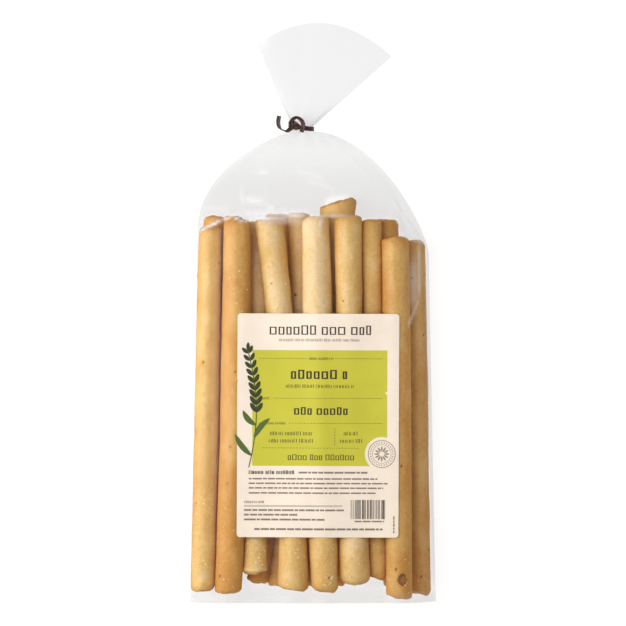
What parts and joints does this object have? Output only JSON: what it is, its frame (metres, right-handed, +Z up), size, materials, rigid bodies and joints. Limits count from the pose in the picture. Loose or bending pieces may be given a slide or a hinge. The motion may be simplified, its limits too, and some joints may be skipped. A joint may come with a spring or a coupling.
{
  "type": "tied bag of grissini breadsticks",
  "caption": "Clear gusseted bag of thick grissini breadsticks, with a front label, its gathered neck closed by a twist tie; lies on its back.",
  "frame": {"origin": "middle of the bag's footprint, on the surface that the bag lies on", "axes": "+Z up, out of the bag's labelled front; +Y along the breadsticks, towards the tied neck and the fanned mouth; +X towards the right of the label as it is read"},
  "size_m": [0.134, 0.3168, 0.0311],
  "materials": {
    "film": "clear cellophane over baked breadsticks",
    "label_paper": "uncoated cream label paper, printed",
    "tie_paper": "dark red-brown paper over a wire"
  },
  "bodies": {
    "root": {"bag": "film", "label": "label_paper", "tie": "tie_paper"}
  },
  "joints": []
}
